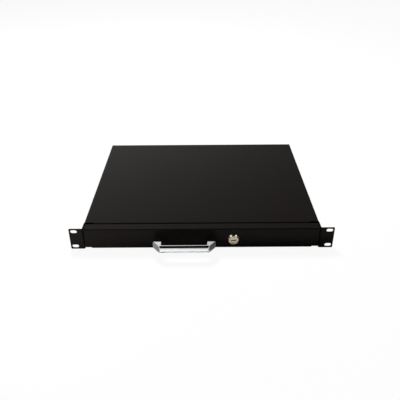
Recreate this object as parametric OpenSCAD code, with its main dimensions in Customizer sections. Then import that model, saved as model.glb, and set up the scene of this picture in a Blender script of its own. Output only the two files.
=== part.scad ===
// Rack drawer, one rack unit high, with a lockable pull-out tray on ball bearing slides.
// +X points right, -Y points out of the rack towards the user, +Z points up.
// The origin is the centre of the four ear slots, on the rear face of the ears.

/* [Rack fit] */
// Width over both ears
panel_w = 482.6; // [478:0.1:486]
// Height of the ears and of the housing
unit_h = 43.66; // [43.2:0.01:44.4]
// Width of an ear beside the housing
ear_w = 25.9; // [25:0.1:28]
// Distance of a slot's middle from the outer edge of the ear
slot_side_inset = 8.75; // [8:0.05:9.5]
// Distance of a slot's middle from the upper or lower edge of the ear
slot_end_inset = 5.955; // [5:0.005:6.5]
// Length of an ear slot, end to end
slot_len = 12; // [8:0.5:14]
// Width of an ear slot
slot_w = 6.6; // [5.4:0.1:7.2]
// Thickness of the ear brackets
ear_t = 1.6; // [1.2:0.1:2.4]
// Corner radius of an ear
ear_corner_r = 1.6; // [0.6:0.1:2.4]
// Reach of a bracket's arm behind the mounting face
ear_arm_depth = 62; // [50:1:68]

/* [Housing] */
// Depth from the mounting face to the back of the cover
housing_depth = 365; // [350:1:400]
// Sheet thickness of the chassis
chassis_t = 1.2; // [1:0.1:1.5]
// Sheet thickness of the cover
cover_t = 1.2; // [0.9:0.1:1.5]
// Inner radius of the folds
fold_r = 0.8; // [0.5:0.1:1.2]
// Distance of the chassis floor behind the mounting face
floor_setback = 4; // [3:0.5:10]
// Distance of the cover's front edge behind the mounting face
cover_setback = 16.5; // [15:0.5:18]
// Height of the cover's front lip
cover_lip_h = 7; // [6:0.5:8]
// Height of the cover's side and rear flanges
cover_flange_h = 8; // [7:0.5:9]
// Width of the notch at each front corner of the cover
notch_w = 17.5; // [16:0.5:24]
// Depth of the notch at each front corner of the cover
notch_depth = 3; // [2:0.5:4]

/* [Drawer] */
// Sheet thickness of the drawer front
front_t = 1.2; // [1:0.1:1.5]
// How far the drawer front stands proud of the ears
front_proud = 2.5; // [1.5:0.1:5]
// Gap between the drawer front and each bracket
front_gap = 1.5; // [1:0.1:2]
// Height of the drawer front's lower edge above the base
front_lift = 2.5; // [2:0.1:3]
// Gap between the drawer front's top flange and the cover
seam_gap = 2.4; // [1.4:0.1:3.4]
// Depth of the drawer front's side returns
front_side_depth = 15; // [10:0.5:17]
// Depth of the drawer front's bottom flange
front_bottom_depth = 16.5; // [12:0.5:18]
// Height of the lip behind the top flange
front_lip_h = 5; // [3:0.5:7]
// Width cut away at each lower corner of the front
relief_w = 11.7; // [8:0.1:14]
// Height cut away at each lower corner of the front
relief_h = 2.5; // [2:0.1:3.5]
// Sheet thickness of the tray
tray_t = 1; // [0.8:0.1:1.3]
// Clearance of the tray's rim under the cover's lip
tray_play = 1.5; // [0.8:0.1:3]
// Reach of the tray behind its slides
tray_overhang = 10; // [4:1:18]
// Width of the tabs that hold the drawer front
tab_w = 14; // [12:0.5:20]

/* [Slides] */
// Room above and below a slide, to the sheets of the housing
slide_end_room = 3.13; // [2.5:0.01:4]
// Room behind the slides, to the back of the housing
slide_rear_room = 44.5; // [35:0.5:75]
// Sheet thickness of the slide members
member_t = 1.2; // [1:0.05:1.3]
// Diameter of the bearing balls
ball_d = 3.2; // [2.8:0.1:3.4]
// Room on each side of a ball, to the lips of the members
ball_side_room = 0.55; // [0.4:0.05:0.7]
// Distance between two balls of a row
ball_pitch = 20; // [12:1:24]
// Sheet thickness of the ball cages
cage_t = 0.6; // [0.4:0.1:0.8]

/* [Handle] */
// Place of the handle's middle, to the right of the centre
handle_x = -31.2; // [-60:0.1:-20]
// Height of the handle's middle above the centre of the slots
handle_z = 0.7; // [0:0.1:3]
// Width over both legs of the handle
handle_w = 113.5; // [110:0.5:120]
// Width of a leg of the handle
leg_w = 16; // [14:0.5:18]
// Reach of the handle in front of the drawer
handle_reach = 35.8; // [28:0.2:42]
// Depth of the grip bar
bar_depth = 7; // [6:0.2:9]
// Height of the handle
handle_h = 14; // [12:0.5:16]
// Width of the slanted corner of the handle
slant_w = 14.6; // [9:0.2:15]
// Depth of the slanted corner of the handle
slant_depth = 19; // [12:0.5:22]
// Radius of the handle's front edges
bar_r = 5.4; // [3:0.1:5.6]
// Radius of the outer edges of the handle's legs
leg_r = 3; // [2:0.1:5.6]
// Distance of a handle screw from the outer side of its leg
handle_screw_inset = 8.5; // [7:0.1:9.5]

/* [Lock] */
// Place of the lock, to the right of the centre
lock_x = 58; // [50:1:120]
// Width of the lock's rim around its threaded body
rim_w = 1.6; // [1:0.1:3]
// Height of the lock's rim in front of the drawer
bezel_h = 5; // [3:0.2:6]
// Width of the slanted ring around the lock's face
rim_slant_w = 2.2; // [1.6:0.1:3.4]
// Diameter of the lock's threaded body
lock_body_d = 18.8; // [17.6:0.1:19.4]
// Diameter of the turning plug
plug_d = 12; // [11:0.2:12.6]
// Width of the keyway
keyway_w = 9; // [7:0.2:9.4]
// Height of the keyway
keyway_h = 2; // [1.6:0.1:2.6]
// Width of the cam
cam_w = 13; // [11:0.5:15]
// Thickness of the cam
cam_t = 2; // [1.5:0.1:2.5]
// Clearance of the cam's tip under the cover
cam_tip_play = 1.3; // [0.8:0.1:2]
// Clearance of the cam behind the cover's lip
cam_lip_room = 1.5; // [0.5:0.1:3]

/* [Fasteners] */
// Shank diameter of the small screws
small_screw_d = 3; // [2.5:0.1:3.2]
// Shank diameter of the slide screws and the studs
slide_screw_d = 4; // [3.5:0.1:4.4]
// Shank diameter of the handle screws
handle_screw_d = 5; // [4:0.1:5.4]
// Head diameter as a multiple of the shank diameter
head_ratio = 1.8; // [1.6:0.05:1.9]
// Head height of the slide screws
low_head_h = 1.5; // [1.2:0.1:1.7]
// Gap between a shank and its hole
screw_play = 0.05; // [0.02:0.01:0.1]

/* [Hidden] */

$fn = 48;

// Overrun of every cut past the face that it opens
cut = 1;
// Gap between pieces that move past each other
play = 0.3;

// Colours
black_c = [0.09, 0.09, 0.09];
zinc_c = [0.72, 0.74, 0.76];
chrome_c = [0.85, 0.86, 0.88];
nickel_c = [0.75, 0.70, 0.64];
rubber_c = [0.05, 0.05, 0.05];

// Holes of the screws
small_hole_r = small_screw_d / 2 + screw_play;
slide_hole_r = slide_screw_d / 2 + screw_play;
handle_hole_r = handle_screw_d / 2 + screw_play;
small_head_r = small_screw_d / 2 * head_ratio;
small_head_h = 0.9;

// Levels of the housing
top_z = unit_h / 2;
base_z = -unit_h / 2;
wall_top_z = top_z - cover_t - fold_r;
chassis_w = panel_w - 2 * ear_w;
cover_w = chassis_w + 2 * cover_t;
wall_front_y = cover_setback + notch_depth;
chassis_rear_y = housing_depth - cover_t;
inner_x = chassis_w / 2 - chassis_t;
slot_x = panel_w / 2 - slot_side_inset;
slot_z = unit_h / 2 - slot_end_inset;
arm_step_z = top_z - cover_flange_h - play;
arm_step_y = wall_front_y - play;

// Screws of the ears, in the arm of each bracket
ear_screw_inset = 9;
ear_screw_front_y = wall_front_y + ear_screw_inset;
ear_screw_rear_y = ear_arm_depth - ear_screw_inset;
ear_screw_low_z = base_z + ear_screw_inset;
ear_screw_high_z = arm_step_z - ear_screw_inset / 2;
ear_screw_places = [
    [ear_screw_front_y, ear_screw_low_z],
    [ear_screw_front_y, ear_screw_high_z],
    [ear_screw_rear_y, ear_screw_low_z],
    [ear_screw_rear_y, ear_screw_high_z]
];

// Screws of the cover, in its side and rear flanges
cover_screw_z = top_z - cover_t - (cover_flange_h - cover_t) / 2;
cover_screw_shares = [0.3, 0.6, 0.93];
cover_rear_screw_shares = [-0.8, 0, 0.8];

// Levels and places of the slides, measured from the side wall
slide_setback = 1;
slide_front_y = wall_front_y + slide_setback;
slide_rear_y = housing_depth - slide_rear_room;
slide_len = slide_rear_y - slide_front_y;
slide_h = unit_h - chassis_t - cover_t - 2 * slide_end_room;
member_r = fold_r + member_t;
bumper_depth = 4;
bumper_w = 12;
outer_lip = 1;
member_lip = 0.6;
middle_u = member_t + low_head_h + play;
cage_web_u = middle_u + member_t + play;
inner_u = cage_web_u + cage_t + play;
ball_u = inner_u + ball_side_room + ball_d / 2;
outer_flange_depth = ball_u + ball_d / 2 + ball_side_room + member_t;
middle_flange_depth = outer_flange_depth - play - middle_u;
slide_t = outer_flange_depth + member_t + 2 * play;
ball_play = 0.04;
ball_room = ball_d + 2 * ball_play;
outer_race_v = slide_h / 2 - member_t;
outer_ball_v = outer_race_v - ball_room / 2;
middle_v = outer_race_v - ball_room;
inner_race_v = middle_v - member_t;
inner_ball_v = inner_race_v - ball_room / 2;
inner_v = inner_race_v - ball_room;
cage_margin = 8;
cage_len = slide_len / 2 - 2 * cage_margin;
cage_front_y = slide_front_y + slide_len / 4 + cage_margin;
cage_w = ball_d + 2;
cage_hole_play = 0.15;
balls_per_row = floor((cage_len - ball_d * 2) / ball_pitch) + 1;
first_ball_y = cage_front_y + (cage_len - (balls_per_row - 1) * ball_pitch) / 2;
slide_screw_shares = [0.18, 0.58, 0.93];

// Levels and places of the drawer
face_y = -ear_t - front_proud;
face_back_y = face_y + front_t;
front_w = chassis_w - 2 * front_gap;
front_rear_y = cover_setback - seam_gap;
front_bottom_z = base_z + front_lift;
front_r = fold_r + front_t;
tray_w = 2 * (inner_x - slide_t);
tray_bottom_z = front_bottom_z + front_t;
tray_top_z = top_z - cover_lip_h - tray_play;
tray_rear_y = slide_rear_y + tray_overhang;
tray_r = fold_r + tray_t;
stud_x = tray_w / 2 - tab_w / 2;
stud_z = 7;
stud_len = 7;
front_lip_inset = 3;
nut_h = 3.2;
nut_across = 7;

// Places of the handle
handle_opening_w = handle_w - 2 * leg_w;
handle_pitch = handle_w - 2 * handle_screw_inset;
opening_r = 2;
handle_thread_depth = 12;
handle_head_h = 2.8;

// Places of the lock
bezel_d = lock_body_d + 2 * rim_w;
lip_back_y = cover_setback + cover_t;
cam_front_y = lip_back_y + cam_lip_room;
ring_t = 1.4;
body_rear_y = cam_front_y - ring_t - play;
bezel_front_y = face_y - bezel_h;
rim_edge_h = 1.2;
dish_depth = 0.5;
plug_front_y = bezel_front_y + dish_depth;
lock_play = 0.05;
washer_t = 0.8;
washer_step = 1;
washer_d = bezel_d + 2 * washer_step;
lock_nut_h = 4;
nut_step = 0.5;
lock_nut_across = bezel_d + 2 * nut_step;
square_w = 7;
square_play = 0.05;
cam_reach = top_z - cover_t - cam_tip_play;
keyway_depth = 14;
cam_thread_depth = 8;
cam_screw_len = 7;
cam_screw_r = 2;
cam_head_h = 2.6;
cam_head_d = 8.5;
hex_sides = 6;
hex_corner_share = 1 / cos(180 / hex_sides);

// Extrudes a section drawn in X and Z from y0 to y1
module along_y(y0, y1) {
    translate([0, y1, 0])
        rotate([90, 0, 0])
            linear_extrude(y1 - y0)
                children();
}

// Extrudes a section drawn in Y and Z to both sides of the middle, w wide in all
module along_x(w) {
    rotate([90, 0, 90])
        linear_extrude(w, center = true)
            children();
}

// Box given by its two corners
module block(low, high) {
    translate(low)
        cube(high - low);
}

// Round rod of radius r along X
module rod_x(r, x0, x1, y, z) {
    translate([x0, y, z])
        rotate([0, 90, 0])
            cylinder(h = x1 - x0, r = r);
}

// Round rod of radius r along Y
module rod_y(r, y0, y1, x, z) {
    translate([x, y1, z])
        rotate([90, 0, 0])
            cylinder(h = y1 - y0, r = r);
}

// The children and their mirror image on the left
module both_sides() {
    children();
    mirror([1, 0, 0])
        children();
}

// The children as drawn on the right, or mirrored to the left
module on_side(left) {
    if (left)
        mirror([1, 0, 0])
            children();
    else
        children();
}

// Rectangle whose corners at the low side of the second axis are round
module low_round_rect(a0, a1, b0, b1, r) {
    translate([a0, b0 + r])
        square([a1 - a0, b1 - b0 - r]);
    translate([a0 + r, b0])
        square([a1 - a0 - 2 * r, b1 - b0]);
    translate([a0 + r, b0 + r])
        circle(r);
    translate([a1 - r, b0 + r])
        circle(r);
}

// Rectangle whose corners at the high side of the second axis are round
module high_round_rect(a0, a1, b0, b1, r) {
    mirror([0, 1])
        low_round_rect(a0, a1, -b1, -b0, r);
}

// Rectangle from u0 to u1 and from -v to v whose corners at u0 are round
module back_round_rect(u0, u1, v, r) {
    translate([u0 + r, -v])
        square([u1 - u0 - r, 2 * v]);
    translate([u0, r - v])
        square([u1 - u0, 2 * (v - r)]);
    for (side = [-1, 1])
        translate([u0 + r, side * (v - r)])
            circle(r);
}

// Block with round lower edges at both sides and at the back
module pan_block(w, y0, y1, z0, z1, r) {
    intersection() {
        along_y(y0, y1)
            low_round_rect(-w / 2, w / 2, z0, z1, r);
        along_x(w)
            difference() {
                low_round_rect(y0 - 2 * r, y1, z0, z1, r);
                translate([y0 - 3 * r, z0 - r])
                    square([3 * r, z1 - z0 + 2 * r]);
            }
    }
}

// Block with round lower edges at both sides, at the back and at the front
module tray_block(w, y0, y1, z0, z1, r) {
    intersection() {
        along_y(y0, y1)
            low_round_rect(-w / 2, w / 2, z0, z1, r);
        along_x(w)
            low_round_rect(y0, y1, z0, z1, r);
    }
}

// Block with round upper edges at both sides, at the back and at the front
module lid_block(w, y0, y1, z0, z1, r) {
    intersection() {
        along_y(y0, y1)
            high_round_rect(-w / 2, w / 2, z0, z1, r);
        along_x(w)
            high_round_rect(y0, y1, z0, z1, r);
    }
}

// Screw head and shank along X, pointing out of the housing at the right
module pan_screw_x(d, head_h, head_x, tip_x, y, z) {
    rod_x(d * head_ratio / 2, head_x, head_x + head_h, y, z);
    rod_x(d / 2, tip_x, head_x + head_h / 2, y, z);
}

// Floor, side walls and rear wall of the housing, folded from one sheet
module chassis_pan() {
    color(black_c)
        difference() {
            pan_block(chassis_w, floor_setback, chassis_rear_y, base_z, wall_top_z, fold_r + chassis_t);
            pan_block(
                chassis_w - 2 * chassis_t, floor_setback - cut, chassis_rear_y - chassis_t,
                base_z + chassis_t, top_z + cut, fold_r
            );
            block(
                [-chassis_w, floor_setback - cut, base_z + chassis_t + fold_r],
                [chassis_w, wall_front_y, top_z + cut]
            );
            both_sides() {
                for (p = ear_screw_places)
                    rod_x(small_hole_r, inner_x - cut, chassis_w, p[0], p[1]);
                for (y = cover_screw_ys())
                    rod_x(small_hole_r, inner_x - cut, chassis_w, y, cover_screw_z);
                for (y = slide_screw_ys())
                    rod_x(slide_hole_r, inner_x - cut, chassis_w, y, 0);
            }
            for (x = cover_rear_screw_xs())
                rod_y(small_hole_r, chassis_rear_y - chassis_t - cut, housing_depth, x, cover_screw_z);
        }
}

// Places of the cover screws along a side flange
function cover_screw_ys() = [for (s = cover_screw_shares) chassis_rear_y * s];

// Places of the cover screws along the rear flange
function cover_rear_screw_xs() = [for (s = cover_rear_screw_shares) chassis_w / 2 * s];

// Places of the slide screws along a slide
function slide_screw_ys() = [for (s = slide_screw_shares) slide_front_y + slide_len * s];

// Lid with folded side and rear flanges, a front lip and notched front corners
module top_cover() {
    skirt_h = max(cover_flange_h, cover_lip_h);
    color(black_c)
        difference() {
            lid_block(cover_w, cover_setback, housing_depth, top_z - skirt_h, top_z, fold_r + cover_t);
            lid_block(
                chassis_w, cover_setback + cover_t, chassis_rear_y, top_z - skirt_h - cut,
                top_z - cover_t, fold_r
            );
            // Lower edge of the front lip
            block(
                [-cover_w, cover_setback - cut, top_z - skirt_h - cut],
                [cover_w, cover_setback + cover_t + cut, top_z - cover_lip_h]
            );
            // Lower edge of the side and rear flanges
            block(
                [-cover_w, cover_setback + cover_t + cut, top_z - skirt_h - cut],
                [cover_w, housing_depth + cut, top_z - cover_flange_h]
            );
            both_sides() {
                block(
                    [cover_w / 2 - notch_w, cover_setback - cut, base_z],
                    [cover_w, wall_front_y, top_z + cut]
                );
                for (y = cover_screw_ys())
                    rod_x(small_hole_r, inner_x, cover_w, y, cover_screw_z);
            }
            for (x = cover_rear_screw_xs())
                rod_y(small_hole_r, chassis_rear_y - cut, housing_depth + cut, x, cover_screw_z);
        }
}

// Plan of the right bracket: ear plate, fold and arm
module bracket_plan() {
    arm_x = chassis_w / 2;
    outer_r = fold_r + ear_t;
    translate([arm_x + outer_r, -ear_t])
        square([panel_w / 2 - arm_x - outer_r, ear_t]);
    translate([arm_x, outer_r - ear_t])
        square([ear_t, ear_arm_depth - outer_r + ear_t]);
    intersection() {
        translate([arm_x + outer_r, outer_r - ear_t])
            difference() {
                circle(outer_r);
                circle(fold_r);
            }
        translate([arm_x, -ear_t])
            square([outer_r, outer_r]);
    }
}

// Horizontal slot through the ear plate
module ear_slot(z) {
    reach = slot_len / 2 - slot_w / 2;
    rod_y(slot_w / 2, -ear_t - cut, cut, slot_x - reach, z);
    rod_y(slot_w / 2, -ear_t - cut, cut, slot_x + reach, z);
    block(
        [slot_x - reach, -ear_t - cut, z - slot_w / 2],
        [slot_x + reach, cut, z + slot_w / 2]
    );
}

// Front outline of the right ear with its round outer corners
module ear_outline() {
    translate([-cut, base_z])
        square([panel_w / 2 - ear_corner_r + cut, unit_h]);
    translate([-cut, base_z + ear_corner_r])
        square([panel_w / 2 + cut, unit_h - 2 * ear_corner_r]);
    for (side = [-1, 1])
        translate([panel_w / 2 - ear_corner_r, side * (top_z - ear_corner_r)])
            circle(ear_corner_r);
}

// Bracket with the ear at the front and the arm along the side wall
module ear_bracket(left) {
    color(black_c)
        on_side(left)
            difference() {
                intersection() {
                    translate([0, 0, base_z])
                        linear_extrude(unit_h)
                            bracket_plan();
                    along_y(-ear_t - cut, ear_arm_depth + cut)
                        ear_outline();
                }
                block([0, arm_step_y, arm_step_z], [panel_w, ear_arm_depth + cut, top_z + cut]);
                ear_slot(slot_z);
                ear_slot(-slot_z);
                for (p = ear_screw_places) {
                    rod_x(small_hole_r, inner_x, panel_w / 2, p[0], p[1]);
                    translate([chassis_w / 2, p[0], p[1]])
                        rotate([0, 90, 0])
                            cylinder(h = ear_t, r1 = small_hole_r, r2 = small_head_r + screw_play);
                }
            }
}

// Countersunk screws that hold both brackets to the side walls
module ear_screws() {
    color(black_c)
        both_sides()
            for (p = ear_screw_places) {
                rod_x(small_screw_d / 2, inner_x, chassis_w / 2 + ear_t / 2, p[0], p[1]);
                translate([chassis_w / 2, p[0], p[1]])
                    rotate([0, 90, 0])
                        cylinder(h = ear_t, r1 = small_screw_d / 2, r2 = small_head_r);
            }
}

// Pan head screws of the cover, along both sides and the back
module cover_screws() {
    color(black_c) {
        both_sides()
            for (y = cover_screw_ys())
                pan_screw_x(small_screw_d, small_head_h, cover_w / 2, inner_x, y, cover_screw_z);
        for (x = cover_rear_screw_xs()) {
            tip_y = chassis_rear_y - chassis_t;
            rod_y(small_head_r, housing_depth, housing_depth + small_head_h, x, cover_screw_z);
            rod_y(small_screw_d / 2, tip_y, housing_depth + small_head_h / 2, x, cover_screw_z);
        }
    }
}

// Puts a section drawn from the right side wall inwards into its place
module from_wall(left) {
    on_side(left)
        translate([inner_x, 0, 0])
            mirror([1, 0, 0])
                children();
}

// C section with its back at u0, d deep, from -v to v, with lips at its open side
module channel(u0, d, v, lip) {
    difference() {
        back_round_rect(u0, u0 + d, v, member_r);
        back_round_rect(u0 + member_t, u0 + d + cut, v - member_t, fold_r);
    }
    for (side = [-1, 1])
        translate([u0 + d - member_t, side > 0 ? v - member_t - lip : member_t - v])
            square([member_t, lip]);
}

// Outer member of a slide, fixed to the side wall
module slide_outer(left) {
    color(zinc_c)
        from_wall(left)
            difference() {
                along_y(slide_front_y, slide_rear_y)
                    channel(0, outer_flange_depth, slide_h / 2, outer_lip);
                for (y = slide_screw_ys())
                    rod_x(slide_hole_r, -cut, member_t + cut, y, 0);
            }
}

// Screws that hold the outer members, with low heads inside the channel
module slide_wall_screws() {
    color(zinc_c)
        both_sides()
            from_wall(false)
                for (y = slide_screw_ys())
                    pan_screw_x(slide_screw_d, low_head_h, member_t, -chassis_t, y, 0);
}

// Rubber stops behind the middle members
module slide_bumpers() {
    color(rubber_c)
        both_sides()
            from_wall(false)
                block(
                    [member_t, slide_rear_y - bumper_depth, -bumper_w / 2],
                    [middle_u + member_t, slide_rear_y, bumper_w / 2]
                );
}

// Middle member of a slide
module slide_middle(left) {
    color(zinc_c)
        from_wall(left)
            along_y(slide_front_y, slide_rear_y - bumper_depth - play)
                channel(middle_u, middle_flange_depth, middle_v, member_lip);
}

// Inner member of a slide, fixed to the tray
module slide_inner(left) {
    color(zinc_c)
        from_wall(left)
            difference() {
                along_y(slide_front_y, slide_rear_y - bumper_depth - play)
                    translate([slide_t, 0])
                        mirror([1, 0])
                            channel(0, slide_t - inner_u, inner_v, member_lip);
                for (y = slide_screw_ys())
                    rod_x(slide_hole_r, slide_t - member_t - cut, slide_t + cut, y, 0);
            }
}

// Screws that hold the inner members to the tray, with low heads inside the tray
module slide_tray_screws() {
    color(zinc_c)
        both_sides()
            from_wall(false)
                for (y = slide_screw_ys())
                    pan_screw_x(slide_screw_d, low_head_h, slide_t + tray_t, slide_t - member_t, y, 0);
}

// Places of the balls along a row
function ball_ys() = [for (i = [0 : balls_per_row - 1]) first_ball_y + i * ball_pitch];

// Both rows of balls at the height v
module ball_rows(left, v) {
    color(chrome_c)
        from_wall(left)
            for (side = [-1, 1], y = ball_ys())
                translate([ball_u, y, side * v])
                    sphere(d = ball_d, $fn = 24);
}

// Perforated strips that hold the balls at the height v, joined by a web where web is true
module ball_cage(left, v, web) {
    strip_u = web ? cage_web_u : ball_u - cage_w / 2;
    color(zinc_c)
        from_wall(left)
            difference() {
                union() {
                    for (side = [-1, 1])
                        block(
                            [strip_u, cage_front_y, side * v - cage_t / 2],
                            [ball_u + cage_w / 2, cage_front_y + cage_len, side * v + cage_t / 2]
                        );
                    if (web)
                        block(
                            [cage_web_u, cage_front_y, -v],
                            [cage_web_u + cage_t, cage_front_y + cage_len, v]
                        );
                }
                for (side = [-1, 1], y = ball_ys())
                    translate([ball_u, y, side * v - cut])
                        cylinder(h = 2 * cut, d = ball_d + 2 * cage_hole_play);
            }
}

// Tray with folded sides and back, and a tab at each front corner
module drawer_tray() {
    color(black_c)
        difference() {
            tray_block(tray_w, face_back_y, tray_rear_y, tray_bottom_z, tray_top_z, tray_r);
            tray_block(
                tray_w - 2 * tray_t, face_back_y + tray_t, tray_rear_y - tray_t,
                tray_bottom_z + tray_t, tray_top_z + cut, fold_r
            );
            // Front edge of the floor between the tabs, behind their fold
            block(
                [tab_w - tray_w / 2, face_back_y - cut, tray_bottom_z - cut],
                [tray_w / 2 - tab_w, face_back_y + tray_r, tray_top_z + cut]
            );
            both_sides() {
                for (side = [-1, 1])
                    rod_y(
                        slide_hole_r, face_back_y - cut, face_back_y + tray_t + cut,
                        stud_x, side * stud_z
                    );
                for (y = slide_screw_ys())
                    rod_x(slide_hole_r, tray_w / 2 - tray_t - cut, tray_w / 2 + cut, y, 0);
            }
        }
}

// Block of the drawer front with round front edges all around
module front_block(w, y0, y1, z0, z1, r) {
    intersection() {
        along_x(w)
            translate([0, (z0 + z1) / 2])
                back_round_rect(y0, y1, (z1 - z0) / 2, r);
        translate([0, 0, z0])
            linear_extrude(z1 - z0)
                low_round_rect(-w / 2, w / 2, y0, y1, r);
    }
}

// Folded drawer front with its flanges, side returns and weld studs
module drawer_front() {
    color(black_c) {
        difference() {
            front_block(front_w, face_y, front_rear_y, front_bottom_z, top_z, front_r);
            front_block(
                front_w - 2 * front_t, face_back_y, front_rear_y + cut + front_r,
                front_bottom_z + front_t, top_z - front_t, fold_r
            );
            // Rear edge of the bottom flange
            block(
                [-front_w, face_y + front_bottom_depth, front_bottom_z - cut],
                [front_w, front_rear_y + cut, front_bottom_z + front_t + cut]
            );
            both_sides() {
                // Rear edge of the side return
                block(
                    [front_w / 2 - relief_w, face_y + front_side_depth, front_bottom_z - cut],
                    [front_w, front_rear_y + cut, top_z - front_t]
                );
                // Lower corner of the face and of the side return
                block(
                    [front_w / 2 - relief_w, face_y - cut, front_bottom_z - cut],
                    [front_w, front_rear_y + cut, front_bottom_z + relief_h]
                );
            }
            rod_y(lock_body_d / 2 + lock_play, face_y - cut, face_back_y + cut, lock_x, 0);
            for (side = [-1, 1])
                rod_y(
                    handle_hole_r, face_y - cut, face_back_y + cut,
                    handle_x + side * handle_pitch / 2, handle_z
                );
        }
        // Lip behind the top flange
        block(
            [front_lip_inset - front_w / 2, front_rear_y - front_t, top_z - front_lip_h],
            [front_w / 2 - front_lip_inset, front_rear_y, top_z - front_t / 2]
        );
        both_sides()
            for (side = [-1, 1])
                rod_y(
                    slide_screw_d / 2, face_back_y - front_t / 2, face_back_y + stud_len,
                    stud_x, side * stud_z
                );
    }
}

// Nuts on the weld studs
module front_nuts() {
    nut_y = face_back_y + tray_t;
    color(zinc_c)
        both_sides()
            for (side = [-1, 1])
                translate([stud_x, nut_y, side * stud_z])
                    rotate([-90, 0, 0])
                        difference() {
                            cylinder(h = nut_h, d = nut_across * hex_corner_share, $fn = hex_sides);
                            translate([0, 0, -cut])
                                cylinder(h = nut_h + 2 * cut, d = slide_screw_d + 2 * screw_play);
                        }
}

// Plan of the handle: legs, slanted corners and grip bar around the finger opening
module handle_plan() {
    half = handle_w / 2;
    straight_depth = handle_reach - slant_depth;
    difference() {
        polygon([
            [-half, 0],
            [-half, -straight_depth],
            [slant_w - half, -handle_reach],
            [half - slant_w, -handle_reach],
            [half, -straight_depth],
            [half, 0]
        ]);
        low_round_rect(
            -handle_opening_w / 2, handle_opening_w / 2, bar_depth - handle_reach, cut, opening_r
        );
    }
}

// Side view of the handle with round front edges
module handle_section() {
    translate([bar_r - handle_reach, -handle_h / 2])
        square([handle_reach - bar_r, handle_h]);
    translate([-handle_reach, bar_r - handle_h / 2])
        square([handle_reach, handle_h - 2 * bar_r]);
    for (side = [-1, 1])
        translate([bar_r - handle_reach, side * (handle_h / 2 - bar_r)])
            circle(bar_r);
}

// Front view of the handle with round edges at both sides
module handle_front_view() {
    translate([-handle_w / 2, leg_r - handle_h / 2])
        square([handle_w, handle_h - 2 * leg_r]);
    translate([leg_r - handle_w / 2, -handle_h / 2])
        square([handle_w - 2 * leg_r, handle_h]);
    for (side = [-1, 1], end = [-1, 1])
        translate([side * (handle_w / 2 - leg_r), end * (handle_h / 2 - leg_r)])
            circle(leg_r);
}

// Cast bridge handle with a threaded hole in the end of each leg
module pull_handle() {
    color(chrome_c)
        translate([handle_x, face_y, handle_z])
            difference() {
                intersection() {
                    translate([0, 0, -handle_h / 2])
                        linear_extrude(handle_h)
                            handle_plan();
                    along_x(handle_w)
                        handle_section();
                    along_y(-handle_reach, 0)
                        handle_front_view();
                }
                for (side = [-1, 1])
                    rod_y(
                        handle_hole_r, -handle_thread_depth - screw_play, cut,
                        side * handle_pitch / 2, 0
                    );
            }
}

// Screws that hold the handle from behind the drawer front
module handle_screws() {
    color(zinc_c)
        for (side = [-1, 1]) {
            screw_x = handle_x + side * handle_pitch / 2;
            tip_y = face_y - handle_thread_depth;
            rod_y(
                handle_screw_d * head_ratio / 2, face_back_y, face_back_y + handle_head_h,
                screw_x, handle_z
            );
            rod_y(handle_screw_d / 2, tip_y, face_back_y + handle_head_h / 2, screw_x, handle_z);
        }
}

// Turns a profile drawn as radius and distance along the lock about the lock's axis
module lock_turned() {
    translate([lock_x, 0, 0])
        rotate([-90, 0, 0])
            rotate_extrude()
                children();
}

// Lock body with a slanted rim, a barrel and the bore of the plug
module lock_body() {
    bore_r = plug_d / 2 + lock_play;
    color(nickel_c)
        lock_turned()
            polygon([
                [bore_r, plug_front_y],
                [bore_r + dish_depth, bezel_front_y],
                [bezel_d / 2 - rim_slant_w, bezel_front_y],
                [bezel_d / 2, face_y - rim_edge_h],
                [bezel_d / 2, face_y],
                [lock_body_d / 2, face_y],
                [lock_body_d / 2, body_rear_y],
                [bore_r, body_rear_y]
            ]);
}

// Washer between the drawer front and the lock nut
module lock_washer() {
    color(zinc_c)
        lock_turned()
            translate([lock_body_d / 2 + lock_play, face_back_y])
                square([washer_d / 2 - lock_body_d / 2 - lock_play, washer_t]);
}

// Hexagonal nut on the lock body
module lock_nut() {
    nut_y = face_back_y + washer_t;
    color(zinc_c)
        translate([lock_x, nut_y, 0])
            rotate([-90, 0, 0])
                difference() {
                    cylinder(h = lock_nut_h, d = lock_nut_across * hex_corner_share, $fn = hex_sides);
                    translate([0, 0, -cut])
                        cylinder(h = lock_nut_h + 2 * cut, d = lock_body_d + 2 * lock_play);
                }
}

// Square bar along the lock's axis
module lock_square(w, y0, y1) {
    block([lock_x - w / 2, y0, -w / 2], [lock_x + w / 2, y1, w / 2]);
}

// Turning plug with its keyway, its square tail and the thread of the cam screw
module lock_plug() {
    color(nickel_c)
        difference() {
            union() {
                rod_y(plug_d / 2, plug_front_y, body_rear_y, lock_x, 0);
                lock_square(square_w, plug_front_y + keyway_depth, cam_front_y + cam_t - play / 2);
            }
            block(
                [lock_x - keyway_w / 2, plug_front_y - cut, -keyway_h / 2],
                [lock_x + keyway_w / 2, plug_front_y + keyway_depth, keyway_h / 2]
            );
            rod_y(
                cam_screw_r + screw_play, cam_front_y + cam_t - cam_thread_depth,
                cam_front_y + cam_t + cut, lock_x, 0
            );
        }
}

// Ring behind the body that keeps the plug from sliding out
module lock_stop_ring() {
    color(zinc_c)
        difference() {
            rod_y(lock_body_d / 2 - square_play, body_rear_y + play, cam_front_y, lock_x, 0);
            lock_square(square_w + 2 * square_play, body_rear_y, cam_front_y + cut);
        }
}

// Outline of the cam, seen from the back of the lock and pointing to the left
module cam_outline() {
    translate([lock_x - cam_reach + cam_w / 2, 0])
        circle(cam_w / 2);
    translate([lock_x, 0])
        circle(cam_w / 2);
    translate([lock_x - cam_reach + cam_w / 2, -cam_w / 2])
        square([cam_reach - cam_w / 2, cam_w]);
}

// Cam that turns up behind the cover's lip to lock the drawer
module lock_cam() {
    color(zinc_c)
        difference() {
            along_y(cam_front_y, cam_front_y + cam_t)
                cam_outline();
            lock_square(square_w + 2 * square_play, cam_front_y - cut, cam_front_y + cam_t + cut);
        }
}

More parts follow.
